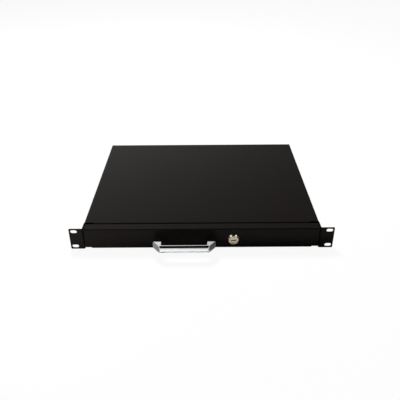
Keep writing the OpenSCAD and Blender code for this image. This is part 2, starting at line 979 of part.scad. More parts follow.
// Screw that holds the cam on the plug's tail
module cam_screw() {
    seat_y = cam_front_y + cam_t;
    color(zinc_c) {
        rod_y(cam_head_d / 2, seat_y, seat_y + cam_head_h, lock_x, 0);
        rod_y(cam_screw_r, seat_y - cam_screw_len, seat_y + cam_head_h / 2, lock_x, 0);
    }
}

chassis_pan();
top_cover();
ear_bracket(true);  // ear_bracket_left
ear_bracket(false);  // ear_bracket_right
ear_screws();
cover_screws();
slide_outer(true);  // slide_outer_left
slide_outer(false);  // slide_outer_right
slide_wall_screws();
slide_bumpers();
slide_middle(true);  // slide_middle_left
slide_middle(false);  // slide_middle_right
ball_cage(true, outer_ball_v, false);  // ball_cage_outer_left
ball_cage(false, outer_ball_v, false);  // ball_cage_outer_right
ball_rows(true, outer_ball_v);  // balls_outer_left
ball_rows(false, outer_ball_v);  // balls_outer_right
ball_cage(true, inner_ball_v, true);  // ball_cage_inner_left
ball_cage(false, inner_ball_v, true);  // ball_cage_inner_right
ball_rows(true, inner_ball_v);  // balls_inner_left
ball_rows(false, inner_ball_v);  // balls_inner_right
slide_inner(true);  // slide_inner_left
slide_inner(false);  // slide_inner_right
slide_tray_screws();
drawer_tray();
drawer_front();
front_nuts();
pull_handle();
handle_screws();
lock_body();
lock_washer();
lock_nut();
lock_plug();
lock_stop_ring();
lock_cam();
cam_screw();
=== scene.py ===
"""Visual model of a one unit rack drawer, dressed around its packed construction model.

Every length in the classes below is in millimetres, and every mesh is written in metres, in the frame of
the construction model: +X to the right, -Y towards the user, +Z up, from the centre of the ear slots.
"""

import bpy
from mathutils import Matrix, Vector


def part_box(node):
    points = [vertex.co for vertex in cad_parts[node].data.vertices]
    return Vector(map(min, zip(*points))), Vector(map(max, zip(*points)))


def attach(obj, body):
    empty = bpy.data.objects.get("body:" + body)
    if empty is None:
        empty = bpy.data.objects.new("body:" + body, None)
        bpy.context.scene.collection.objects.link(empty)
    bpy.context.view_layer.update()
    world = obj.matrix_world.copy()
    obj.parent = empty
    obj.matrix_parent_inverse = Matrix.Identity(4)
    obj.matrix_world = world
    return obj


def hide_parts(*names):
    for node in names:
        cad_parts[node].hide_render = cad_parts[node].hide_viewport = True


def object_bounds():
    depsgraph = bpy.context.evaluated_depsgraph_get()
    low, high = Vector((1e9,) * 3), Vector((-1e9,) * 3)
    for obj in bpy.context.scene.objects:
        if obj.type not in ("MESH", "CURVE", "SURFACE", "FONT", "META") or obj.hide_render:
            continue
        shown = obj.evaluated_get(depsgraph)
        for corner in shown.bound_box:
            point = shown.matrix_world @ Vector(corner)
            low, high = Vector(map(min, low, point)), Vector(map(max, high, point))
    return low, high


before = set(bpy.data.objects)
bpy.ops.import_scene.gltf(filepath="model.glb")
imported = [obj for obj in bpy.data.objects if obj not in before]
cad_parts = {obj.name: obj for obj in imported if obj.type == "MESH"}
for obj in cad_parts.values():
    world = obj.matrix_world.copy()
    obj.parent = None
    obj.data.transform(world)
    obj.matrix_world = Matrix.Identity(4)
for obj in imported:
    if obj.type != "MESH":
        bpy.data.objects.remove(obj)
CAD_BOX = [[float(value) for value in corner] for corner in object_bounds()]

import logging
import math
from dataclasses import dataclass, field
from enum import Enum

import bmesh
import bpy
import numpy as np
from mathutils import Matrix, Vector

LOG = logging.getLogger("rack_drawer")
MM = 0.001
# Height of the head and radius of the shank of each node of screws, in millimetres
SCREW_SIZES = {"cover_screws": (0.9, 1.5), "ear_screws": (1.6, 1.5),
               "slide_tray_screws": (1.5, 2.0), "handle_screws": (2.8, 2.5)}


class Slot(Enum):
    """Material slots of the record that a piece takes its finish from."""

    BLACK_STEEL = "black_steel"
    SLIDE_STEEL = "slide_steel"
    BALL_STEEL = "ball_steel"
    CHROME_CAST = "chrome_cast"
    NICKEL_LOCK = "nickel_lock"
    ZINC_SCREW = "zinc_screw"
    BLACK_SCREW = "black_screw"
    STOP_RUBBER = "stop_rubber"


class Way(Enum):
    """Direction that a screw's head faces."""

    LEFT = (-1.0, 0.0, 0.0)
    RIGHT = (1.0, 0.0, 0.0)
    BACK = (0.0, 1.0, 0.0)


def linear(colour: str) -> tuple[float, float, float, float]:
    """Turns an sRGB hex colour to the linear values that Blender's shaders take.

    Args:
        colour: Colour as six hex digits, such as "1a1b1c".

    Returns:
        Linear red, green, blue and an alpha of 1.
    """
    parts = [int(colour[i:i + 2], 16) / 255 for i in (0, 2, 4)]
    low = [c / 12.92 if c <= 0.04045 else ((c + 0.055) / 1.055) ** 2.4 for c in parts]
    return (low[0], low[1], low[2], 1.0)


def add_node(tree: bpy.types.NodeTree, kind: str, settings: dict | None = None,
             **inputs: object) -> bpy.types.Node:
    """Adds a node to a tree with its settings, input values and links.

    Args:
        tree: Node tree that gets the node.
        kind: Blender's name of the node type.
        settings: Properties of the node, set before its inputs.
        **inputs: Value or output socket for each input. An input's name is written with underscores, and
            a number after "i" names an input by its place.

    Returns:
        The new node.
    """
    node = tree.nodes.new(kind)
    for name, value in (settings or {}).items():
        setattr(node, name, value)
    for name, value in inputs.items():
        place = int(name[1:]) if name[0] == "i" and name[1:].isdigit() else name.replace("_", " ")
        socket = node.inputs[place]
        if isinstance(value, bpy.types.NodeSocket):
            tree.links.new(value, socket)
        else:
            socket.default_value = value
    return node


def new_material(name: str) -> tuple[bpy.types.Material, bpy.types.NodeTree, bpy.types.Node]:
    """Makes an empty node material with its output.

    Args:
        name: Name of the real material.

    Returns:
        The material, its node tree and the output node.
    """
    material = bpy.data.materials.new(name)
    material.use_nodes = True
    material.node_tree.nodes.clear()
    output = add_node(material.node_tree, "ShaderNodeOutputMaterial")
    return material, material.node_tree, output


@dataclass(frozen=True)
class PowderCoat:
    """Polyester powder coat, sprayed and baked on steel: near black, semi-gloss, with soft orange peel."""

    name: str = "black_powder_coat"
    base: str = "100d0b"
    base_light: str = "15110e"
    roughness: float = 0.34
    roughness_spread: float = 0.06
    ior: float = 1.5
    specular: float = 0.06
    peel_mm: float = 2.2
    peel_height_mm: float = 0.012
    cloud_mm: float = 70.0

    def material(self) -> bpy.types.Material:
        """Builds the coat: peel waves as bump, drawn coarser than the real 1 mm so that they show.

        Returns:
            The material of the coat.
        """
        material, tree, output = new_material(self.name)
        place = add_node(tree, "ShaderNodeTexCoord").outputs["Object"]
        cloud = add_node(tree, "ShaderNodeTexNoise", Vector=place, Scale=1 / (self.cloud_mm * MM), Detail=3.0)
        peel = add_node(tree, "ShaderNodeTexNoise", Vector=place, Scale=1 / (self.peel_mm * MM), Detail=2.0)
        colour = add_node(tree, "ShaderNodeMix", {"data_type": "RGBA"}, i0=cloud.outputs["Fac"],
                          i6=linear(self.base), i7=linear(self.base_light))
        gloss = add_node(tree, "ShaderNodeMapRange", Value=cloud.outputs["Fac"],
                         To_Min=self.roughness - self.roughness_spread,
                         To_Max=self.roughness + self.roughness_spread)
        bump = add_node(tree, "ShaderNodeBump", Height=peel.outputs["Fac"], Strength=0.5,
                        Distance=self.peel_height_mm * MM)
        shader = add_node(tree, "ShaderNodeBsdfPrincipled", Base_Color=colour.outputs[2],
                          Roughness=gloss.outputs[0], Normal=bump.outputs[0], IOR=self.ior)
        shader.inputs["Specular IOR Level"].default_value = self.specular
        tree.links.new(shader.outputs[0], output.inputs[0])
        return material


@dataclass(frozen=True)
class PlatedMetal:
    """Plated or bare bright metal: tint patches, a grain along one axis and a slight waviness."""

    name: str
    base: str
    tint: str
    roughness: float
    roughness_spread: float
    patch_mm: float
    grain_mm: float
    grain_stretch: tuple[float, float, float]
    grain_height_mm: float

    def material(self) -> bpy.types.Material:
        """Builds the metal: the grain is a noise pattern drawn out along the rolling or turning direction.

        Returns:
            The material of the metal.
        """
        material, tree, output = new_material(self.name)
        place = add_node(tree, "ShaderNodeTexCoord").outputs["Object"]
        drawn = add_node(tree, "ShaderNodeMapping", Vector=place, Scale=self.grain_stretch)
        patch = add_node(tree, "ShaderNodeTexNoise", Vector=place, Scale=1 / (self.patch_mm * MM), Detail=4.0)
        grain = add_node(tree, "ShaderNodeTexNoise", Vector=drawn.outputs[0],
                         Scale=1 / (self.grain_mm * MM), Detail=3.0)
        colour = add_node(tree, "ShaderNodeMix", {"data_type": "RGBA"}, i0=patch.outputs["Fac"],
                          i6=linear(self.base), i7=linear(self.tint))
        gloss = add_node(tree, "ShaderNodeMapRange", Value=grain.outputs["Fac"],
                         To_Min=self.roughness - self.roughness_spread,
                         To_Max=self.roughness + self.roughness_spread)
        bump = add_node(tree, "ShaderNodeBump", Height=grain.outputs["Fac"], Strength=0.4,
                        Distance=self.grain_height_mm * MM)
        shader = add_node(tree, "ShaderNodeBsdfPrincipled", Base_Color=colour.outputs[2],
                          Roughness=gloss.outputs[0], Normal=bump.outputs[0], Metallic=1.0)
        tree.links.new(shader.outputs[0], output.inputs[0])
        return material


@dataclass(frozen=True)
class MouldedRubber:
    """Moulded nitrile rubber: dull black with a fine grain and paler dust."""

    name: str = "moulded_rubber"
    base: str = "121212"
    dust: str = "24221f"
    roughness: float = 0.8
    grain_mm: float = 1.0
    grain_height_mm: float = 0.03

    def material(self) -> bpy.types.Material:
        """Builds the rubber: one noise pattern gives both the grain and the dust.

        Returns:
            The material of the rubber.
        """
        material, tree, output = new_material(self.name)
        place = add_node(tree, "ShaderNodeTexCoord").outputs["Object"]
        grain = add_node(tree, "ShaderNodeTexNoise", Vector=place, Scale=1 / (self.grain_mm * MM), Detail=5.0)
        colour = add_node(tree, "ShaderNodeMix", {"data_type": "RGBA"}, i0=grain.outputs["Fac"],
                          i6=linear(self.base), i7=linear(self.dust))
        bump = add_node(tree, "ShaderNodeBump", Height=grain.outputs["Fac"], Strength=0.6,
                        Distance=self.grain_height_mm * MM)
        shader = add_node(tree, "ShaderNodeBsdfPrincipled", Base_Color=colour.outputs[2],
                          Normal=bump.outputs[0], Roughness=self.roughness)
        tree.links.new(shader.outputs[0], output.inputs[0])
        return material


@dataclass
class Finishes:
    """All finishes of the drawer, made once and handed to the pieces by slot."""

    made: dict[Slot, bpy.types.Material] = field(default_factory=dict)
    brass: bpy.types.Material | None = None

    def build(self) -> None:
        """Makes one material for each slot, and the brass of the lock's wafers."""
        self.made = {
            Slot.BLACK_STEEL: PowderCoat().material(),
            # Cold rolled steel, bright zinc plated: silvery blue with rolling lines along the slide
            Slot.SLIDE_STEEL: PlatedMetal("bright_zinc_plated_steel", "b4b9bd", "c4c3bb", 0.3, 0.08,
                                          22.0, 1.2, (1.0, 0.04, 1.0), 0.02).material(),
            # Hardened and polished bearing steel: clear, almost a mirror
            Slot.BALL_STEEL: PlatedMetal("polished_bearing_steel", "c3c6cb", "cfd0d2", 0.12, 0.04,
                                         6.0, 0.8, (1.0, 1.0, 1.0), 0.002).material(),
            # Zinc casting, polished and chrome plated: a clear mirror with the faint waves of polishing
            Slot.CHROME_CAST: PlatedMetal("chrome_plated_zinc_casting", "f1f2f3", "eceef0", 0.05, 0.02,
                                          30.0, 9.0, (1.0, 1.0, 1.0), 0.02).material(),
            # Zinc casting, satin nickel plated: warm beige grey, softly blurred reflections
            Slot.NICKEL_LOCK: PlatedMetal("satin_nickel_plated_casting", "cbbfae", "bcae9b", 0.32, 0.06,
                                          5.0, 0.9, (1.0, 1.0, 1.0), 0.01).material(),
            # Barrel zinc plated screws and nuts: grey with slight blue and yellow patches
            Slot.ZINC_SCREW: PlatedMetal("barrel_zinc_plated_steel", "b1b5ba", "c2bfae", 0.34, 0.08,
                                         3.0, 0.6, (1.0, 1.0, 1.0), 0.01).material(),
            # Oxide blackened screws: dark grey with an oily sheen
            Slot.BLACK_SCREW: PlatedMetal("black_oxide_steel", "1b1c1f", "26241f", 0.38, 0.08,
                                          2.5, 0.6, (1.0, 1.0, 1.0), 0.01).material(),
            Slot.STOP_RUBBER: MouldedRubber().material(),
        }
        # Stamped brass strip: yellow
        self.brass = PlatedMetal("stamped_brass", "b5935a", "a5814b", 0.3, 0.08, 2.0, 0.4,
                                 (1.0, 1.0, 1.0), 0.01).material()

    def dress_node(self, node: str, slot: Slot) -> None:
        """Gives a construction node the finish of its slot.

        Args:
            node: Name of the node.
            slot: Slot whose finish it gets.
        """
        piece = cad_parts[node]
        if not piece.material_slots:
            piece.data.materials.append(self.made[slot])
        for place in piece.material_slots:
            place.material = self.made[slot]
        LOG.info("node %s: %s", node, self.made[slot].name)


def object_from_mesh(name: str, mesh: bpy.types.Mesh, material: bpy.types.Material,
                     smooth_angle: float = 35.0) -> bpy.types.Object:
    """Makes an object at the origin from a mesh that holds its place.

    Args:
        name: Name of the piece.
        mesh: Mesh in metres, in the model's frame.
        material: Finish of the whole piece.
        smooth_angle: Angle in degrees above which an edge stays sharp.

    Returns:
        The object, linked to the scene.
    """
    mesh.name = name
    mesh.materials.clear()
    mesh.materials.append(material)
    mesh.polygons.foreach_set("use_smooth", np.ones(len(mesh.polygons), bool))
    mesh.polygons.foreach_set("material_index", np.zeros(len(mesh.polygons), np.int32))
    mesh.set_sharp_from_angle(angle=math.radians(smooth_angle))
    piece = bpy.data.objects.new(name, mesh)
    bpy.context.scene.collection.objects.link(piece)
    return piece


def settle(piece: bpy.types.Object, body: str, slot: Slot, *nodes: str) -> bpy.types.Object:
    """Lets a piece ride on its body and stand for its nodes, and reports it.

    Args:
        piece: The new piece.
        body: Body that carries it.
        slot: Slot of its finish; not used.
        *nodes: Construction nodes that it replaces.

    Returns:
        The same piece.
    """
    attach(piece, body)
    if nodes:
        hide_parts(*nodes)
    LOG.info("piece %s: body %s, %d faces, for %s", piece.name, body, len(piece.data.polygons),
             ", ".join(nodes) or "no node")
    return piece


def softened_copy(node: str, name: str, material: bpy.types.Material, width_mm: float,
                  segments: int = 2, foot_y: float | None = None) -> bpy.types.Object:
    """Copies a construction node, joins its loose triangles and rounds its sharp edges.

    Args:
        node: Node that is copied.
        name: Name of the new piece.
        material: Finish of the piece.
        width_mm: Width of the rounding at each sharp edge.
        segments: Faces across the rounding.
        foot_y: Place of a seat across Y, in millimetres, whose edges stay as they are.

    Returns:
        The rounded piece.
    """
    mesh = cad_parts[node].data.copy()
    work = bmesh.new()
    work.from_mesh(mesh)
    bmesh.ops.remove_doubles(work, verts=work.verts, dist=2e-6)
    bmesh.ops.dissolve_limit(work, angle_limit=math.radians(0.5), verts=work.verts, edges=work.edges)
    work.to_mesh(mesh)
    work.free()
    piece = object_from_mesh(name, mesh, material)
    bevel = piece.modifiers.new("rounded_edges", "BEVEL")
    bevel.width = width_mm * MM
    bevel.segments = segments
    bevel.limit_method = "WEIGHT"
    sharp = np.zeros(len(mesh.edges), bool)
    mesh.attributes["sharp_edge"].data.foreach_get("value", sharp)
    if foot_y is not None:
        ends = np.zeros(2 * len(mesh.edges), np.int32)
        mesh.edges.foreach_get("vertices", ends)
        points = np.zeros(3 * len(mesh.vertices), np.float32)
        mesh.vertices.foreach_get("co", points)
        seated = points[1::3][ends.reshape(-1, 2)].min(1) > (foot_y - 0.05) * MM
        sharp &= ~seated
    weight = mesh.attributes.new("bevel_weight_edge", "FLOAT", "EDGE")
    weight.data.foreach_set("value", sharp.astype(np.float32))
    bevel.use_clamp_overlap = False
    bevel.miter_outer = "MITER_ARC"
    level = piece.modifiers.new("level_faces", "WEIGHTED_NORMAL")
    level.keep_sharp = True
    level.weight = 100
    return piece


def rounded_loop(corners: np.ndarray, cut_mm: np.ndarray, steps: int = 5) -> np.ndarray:
    """Rounds the corners of a closed line in a plane.

    Each corner p becomes the parabola (1-t)^2 a + 2t(1-t) p + t^2 b for t from 0 to 1, where a and b lie
    at the corner's cut length from p towards the corner before and after it.

    Args:
        corners: Corner points, one row each.
        cut_mm: Cut length of each corner.
        steps: Points on each parabola.

    Returns:
        Points of the rounded line, in order.
    """
    before = np.roll(corners, 1, axis=0) - corners
    after = np.roll(corners, -1, axis=0) - corners
    before /= np.linalg.norm(before, axis=1, keepdims=True)
    after /= np.linalg.norm(after, axis=1, keepdims=True)
    start = (corners + before * cut_mm[:, None])[:, None]
    end = (corners + after * cut_mm[:, None])[:, None]
    t = np.linspace(0, 1, steps)[None, :, None]
    curve = (1 - t) ** 2 * start + 2 * t * (1 - t) * corners[:, None] + t ** 2 * end
    return curve.reshape(-1, 2)


def grid_mesh(grids: list[np.ndarray], close_rows: bool, close_columns: bool) -> bpy.types.Mesh:
    """Joins point grids to one mesh with a face between each four neighbours.

    Point (i, j) of a grid has the number i * columns + j, so the face at (i, j) runs through (i, j),
    (i, j+1), (i+1, j+1) and (i+1, j), with the last row or column joined to the first where it is closed.

    Args:
        grids: Arrays of rows x columns x 3 points in millimetres.
        close_rows: Whether the last row joins the first.
        close_columns: Whether the last column joins the first.

    Returns:
        The mesh in metres, with doubled points merged and faces turned outwards.
    """
    points, faces, base = [], [], 0
    for grid in grids:
        rows, columns = grid.shape[:2]
        i, j = np.meshgrid(np.arange(rows if close_rows else rows - 1),
                           np.arange(columns if close_columns else columns - 1), indexing="ij")
        i2, j2 = (i + 1) % rows, (j + 1) % columns
        quads = np.stack([i * columns + j, i * columns + j2, i2 * columns + j2, i2 * columns + j], -1)
        points.append(grid.reshape(-1, 3) * MM)
        faces.append(quads.reshape(-1, 4) + base)
        base += rows * columns
    mesh = bpy.data.meshes.new("surface")
    mesh.from_pydata(np.concatenate(points), [], np.concatenate(faces))
    work = bmesh.new()
    work.from_mesh(mesh)
    bmesh.ops.remove_doubles(work, verts=work.verts, dist=1e-7)
    bmesh.ops.recalc_face_normals(work, faces=work.faces)
    work.to_mesh(mesh)
    work.free()
    return mesh


def bent(value: np.ndarray, power: float = 0.35) -> np.ndarray:
    """Raises the size of a sine or cosine to a power and keeps its sign.

    Args:
        value: Sine or cosine.
        power: Power, below 1 for a boxy shape.

    Returns:
        The bent value.
    """
    return np.sign(value) * np.abs(value) ** power


def turned(profile: np.ndarray, around: int) -> np.ndarray:
    """Turns a profile about an axis: point (r, h) at angle a becomes (r cos a, r sin a, h).

    Args:
        profile: Radius and height of each point of the profile.
        around: Points around the axis.

    Returns:
        Grid of points, with a row for each profile point.
    """
    angle = np.linspace(0, 2 * np.pi, around, endpoint=False)[None, :]
    radius, height = profile[:, :1], profile[:, 1:]
    return np.stack([radius * np.cos(angle), radius * np.sin(angle), height + 0 * angle], -1)


def aimed(grid: np.ndarray, way: tuple[float, float, float], foot: np.ndarray) -> np.ndarray:
    """Turns a grid whose axis is its third coordinate so that it points along a direction.

    The new point is foot + x side + y up + z way, where side and up stand square to the direction.

    Args:
        grid: Points with the axis along the third coordinate.
        way: Direction that the axis gets.
        foot: Place of the grid's origin, in millimetres.

    Returns:
        The turned and moved grid.
    """
    direction = np.array(way)
    up = np.array([0.0, 0.0, 1.0])
    side = np.cross(up, direction)
    return foot + grid[..., :1] * side + grid[..., 1:2] * up + grid[..., 2:] * direction


@dataclass
class ScrewShape:
    """Screw with a domed or flat head, a cross recess and a plain shank."""

    head_r: float
    head_h: float
    shank_r: float
    length: float
    dome: float = 0.25
    sunk: bool = False
    recess_w: float = 0.55
    recess_share: float = 0.62
    recess_depth: float = 0.8
    around: int = 48
    rings: int = 14

    def grid(self) -> np.ndarray:
        """Works out the screw with its head's seat at height 0.

        The head's top is h(r) = head_h - dome (r/R)^2, less the cross: depth times the larger of two
        smooth bars, each exp(-(across/w)^8) exp(-(along/L)^8), square to each other. The rest is turned
        from straight lines: side of the head, seat, shank and tip.

        Returns:
            Grid of points from the middle of the head to the middle of the tip.
        """
        top_r = np.linspace(0, self.head_r * 0.94, self.rings)
        top = np.stack([top_r, self.head_h - self.dome * (top_r / self.head_r) ** 2], 1)
        seat_r = self.shank_r if self.sunk else self.head_r
        rest = np.array([
            [self.head_r, self.head_h - self.dome * 1.3],
            [seat_r, 0.0],
            [self.shank_r, 0.0],
            [self.shank_r, -self.length + 0.4],
            [self.shank_r * 0.8, -self.length],
            [0.0, -self.length],
        ])
        if self.sunk:
            rest[1, 1] = 0.05
        points = turned(np.concatenate([top, rest]), self.around)
        x, y = points[:self.rings, :, 0], points[:self.rings, :, 1]
        reach = self.head_r * self.recess_share
        bars = [np.exp(-(a / self.recess_w) ** 8) * np.exp(-(b / reach) ** 8) for a, b in ((x, y), (y, x))]
        taper = 1 - 0.5 * np.clip(np.hypot(x, y) / reach, 0, 1)
        points[:self.rings, :, 2] -= self.recess_depth * taper * np.maximum(*bars)
        return points


def islands(node: str) -> list[tuple[np.ndarray, np.ndarray]]:
    """Finds the separate solids of a construction node.

    Args:
        node: Name of the node.

    Returns:
        Lowest and highest corner of each solid, in millimetres.
    """
    work = bmesh.new()
    work.from_mesh(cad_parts[node].data)
    bmesh.ops.remove_doubles(work, verts=work.verts, dist=2e-6)
    found, seen = [], set()
    for seed in work.verts:
        if seed.index in seen:
            continue
        stack, member = [seed], []
        seen.add(seed.index)
        while stack:
            vert = stack.pop()
            member.append(vert.co[:])
            for edge in vert.link_edges:
                other = edge.other_vert(vert)
                if other.index not in seen:
                    seen.add(other.index)
                    stack.append(other)
        points = np.array(member) / MM
        found.append((points.min(0), points.max(0)))
    work.free()
    return sorted(found, key=lambda box: tuple(np.round(box[0], 2)))


@dataclass
class Fasteners:
    """The screws of the drawer, each with a cross recess."""

    finishes: Finishes

    def screws(self, node: str, body: str, slot: Slot, sunk: bool = False) -> None:
        """Replaces a node of screws: each solid's box gives its head, shank and direction.

        Args:
            node: Node of the screws.
            body: Body that carries them.
            slot: Slot of their finish.
            sunk: Whether the heads are countersunk.
        """
        head_h, shank_r = SCREW_SIZES[node]
        grids = []
        for low, high in islands(node):
            middle, size = (low + high) / 2, high - low
            lengthways = int(np.argmax([abs(size[0] - size[2]), abs(size[1] - size[2])]))
            across = size[2] / 2
            total = size[lengthways]
            way = Way.BACK if lengthways == 1 else (Way.RIGHT if middle[0] > 0 else Way.LEFT)
            if node == "slide_tray_screws":
                way = Way.LEFT if middle[0] > 0 else Way.RIGHT
            direction = np.array(way.value)
            tip = middle - direction * total / 2
            foot = tip + direction * (total - head_h)
            shape = ScrewShape(head_r=across, head_h=head_h, shank_r=shank_r, length=total - head_h,
                               sunk=sunk, dome=0.05 if sunk else 0.35,
                               recess_w=across * 0.17, recess_depth=head_h * 0.5)
            grids.append(aimed(shape.grid(), way.value, foot))
        mesh = grid_mesh(grids, False, True)
        settle(object_from_mesh(node + "_cross", mesh, self.finishes.made[slot]), body, slot, node)

    def build(self) -> None:
        """Builds the screws of the cover, the ears, the tray and the handle."""
        self.screws("cover_screws", "housing", Slot.BLACK_SCREW)
        self.screws("ear_screws", "housing", Slot.BLACK_SCREW, sunk=True)
        self.screws("slide_tray_screws", "drawer", Slot.ZINC_SCREW)
        self.screws("handle_screws", "drawer", Slot.ZINC_SCREW)
        self.finishes.dress_node("slide_wall_screws", Slot.ZINC_SCREW)


@dataclass
class SheetMetal:
    """Folded and coated sheets: chassis, cover, ears, tray and drawer front."""

    finishes: Finishes
    edge: float = 0.22

    def build(self) -> None:
        """Replaces each sheet with a copy whose cut edges are rounded by the coat."""
        coat = self.finishes.made[Slot.BLACK_STEEL]
        sheets = [("chassis_pan", "housing"), ("top_cover", "housing"), ("ear_bracket_left", "housing"),
                  ("ear_bracket_right", "housing"), ("drawer_tray", "drawer"), ("drawer_front", "drawer")]
        for node, body in sheets:
            settle(softened_copy(node, node + "_coated", coat, self.edge), body, Slot.BLACK_STEEL, node)


@dataclass
class Slides:
    """Members, cages, balls and rubber stops of both slides."""

    finishes: Finishes
    edge: float = 0.15

    def build(self) -> None:
        """Softens the members' edges and dresses the small pieces."""
        steel = self.finishes.made[Slot.SLIDE_STEEL]
        for side in ("left", "right"):
            for part, body in (("outer", "housing"), ("middle", "middle_" + side), ("inner", "drawer")):
                node = f"slide_{part}_{side}"
                settle(softened_copy(node, node + "_rolled", steel, self.edge), body, Slot.SLIDE_STEEL, node)
            for row in ("outer", "inner"):
                self.finishes.dress_node(f"ball_cage_{row}_{side}", Slot.ZINC_SCREW)
                self.finishes.dress_node(f"balls_{row}_{side}", Slot.BALL_STEEL)
        self.finishes.dress_node("slide_bumpers", Slot.STOP_RUBBER)


@dataclass
class BridgeHandle:
    """Cast bridge handle with round front edges and slanted corners."""

    finishes: Finishes
    edge: float = 0.7
    segments: int = 4

    def build(self) -> None:
        """Rounds the casting's edges as its polishing does."""
        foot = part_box("pull_handle")[1][1] / MM
        piece = softened_copy("pull_handle", "pull_handle_polished",
                              self.finishes.made[Slot.CHROME_CAST], self.edge, self.segments, foot)
        settle(piece, "drawer", Slot.CHROME_CAST, "pull_handle")


@dataclass
class CamLock:
    """Cam lock: turned body with a dished rim, plug with wafers, nut, washer, ring, cam and screw."""

    finishes: Finishes
    rim_w: float = 1.6
    bezel_h: float = 5.0
    rim_slant: float = 2.2
    rim_edge_h: float = 1.2
    dish: float = 0.5
    bore_r: float = 6.05
    around: int = 96
    keyway_half_w: float = 4.5
    keyway_half_h: float = 1.0
    wafer_t: float = 0.7
    wafer_step: float = 1.5
    wafer_first: float = 1.4
    wafer_side_gap: float = 0.05
    wafer_top_gap: float = 0.02
    wafer_width_share: float = 0.34

    def body(self) -> None:
        """Turns the body: a closed profile of bore, face, slanted rim, shoulder and barrel about the axis."""
        low, high = (np.array(corner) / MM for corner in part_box("lock_body"))
        rim_r = (high[0] - low[0]) / 2
        barrel_r = rim_r - self.rim_w
        front, back = low[1], high[1]
        shoulder = front + self.bezel_h
        corners = np.array([
            [self.bore_r, front + self.dish], [self.bore_r + self.dish, front],
            [rim_r - self.rim_slant, front], [rim_r, shoulder - self.rim_edge_h], [rim_r, shoulder],
            [barrel_r, shoulder], [barrel_r, back], [self.bore_r, back],
        ])
        cuts = np.array([0.15, 0.2, 0.5, 0.5, 0.15, 0.15, 0.4, 0.2])
        grid = turned(rounded_loop(corners, cuts), self.around)
        centre = (low + high) / 2
        foot = np.array([centre[0], 0.0, centre[2]])
        grid = aimed(grid, Way.BACK.value, foot)
        mesh = grid_mesh([grid], True, True)
        piece = object_from_mesh("lock_body_turned", mesh, self.finishes.made[Slot.NICKEL_LOCK])
        settle(piece, "drawer", Slot.NICKEL_LOCK, "lock_body")

    def wafers(self) -> None:
        """Lays the wafers in the keyway, by turns at its left and its right.

        Each is a superellipsoid: x = a c(u) c(v), y = b s(v), z = h s(u) c(v), where c and s are the
        cosine and sine with their size raised to the power 0.35.
        """
        low, high = (np.array(corner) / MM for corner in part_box("lock_plug"))
        axis_x, axis_z = (low[0] + high[0]) / 2, (low[2] + high[2]) / 2
        u = np.linspace(-np.pi, np.pi, 24, endpoint=False)[None, :]
        v = np.linspace(-np.pi / 2, np.pi / 2, 13)[:, None]
        half_w = self.keyway_half_w * self.wafer_width_share
        unit = np.stack([half_w * bent(np.cos(u)) * bent(np.cos(v)),
                         self.wafer_t / 2 * bent(np.sin(v)) + 0 * u,
                         (self.keyway_half_h - self.wafer_top_gap) * bent(np.sin(u)) * bent(np.cos(v))], -1)
        grids = [unit + np.array([axis_x + side * (self.keyway_half_w - half_w - self.wafer_side_gap),
                                  low[1] + self.wafer_first + place * self.wafer_step, axis_z])
                 for place, side in enumerate((-1, 1, -1, 1, -1, 1))]
        mesh = grid_mesh(grids, False, True)
        piece = object_from_mesh("lock_wafers", mesh, self.finishes.brass)
        settle(piece, "lock_core", Slot.NICKEL_LOCK)

    def build(self) -> None:
        """Builds the body, plug and wafers, and dresses the nut, washer, ring, cam and screw."""
        self.body()
        nickel = self.finishes.made[Slot.NICKEL_LOCK]
        settle(softened_copy("lock_plug", "lock_plug_cast", nickel, 0.2), "lock_core", Slot.NICKEL_LOCK,
               "lock_plug")
        self.wafers()
        zinc = self.finishes.made[Slot.ZINC_SCREW]
        for node, body in (("lock_nut", "drawer"), ("lock_cam", "lock_core"), ("cam_screw", "lock_core"),
                           ("front_nuts", "drawer")):
            settle(softened_copy(node, node + "_plated", zinc, 0.25), body, Slot.ZINC_SCREW, node)
        for node in ("lock_washer", "lock_stop_ring"):
            self.finishes.dress_node(node, Slot.ZINC_SCREW)


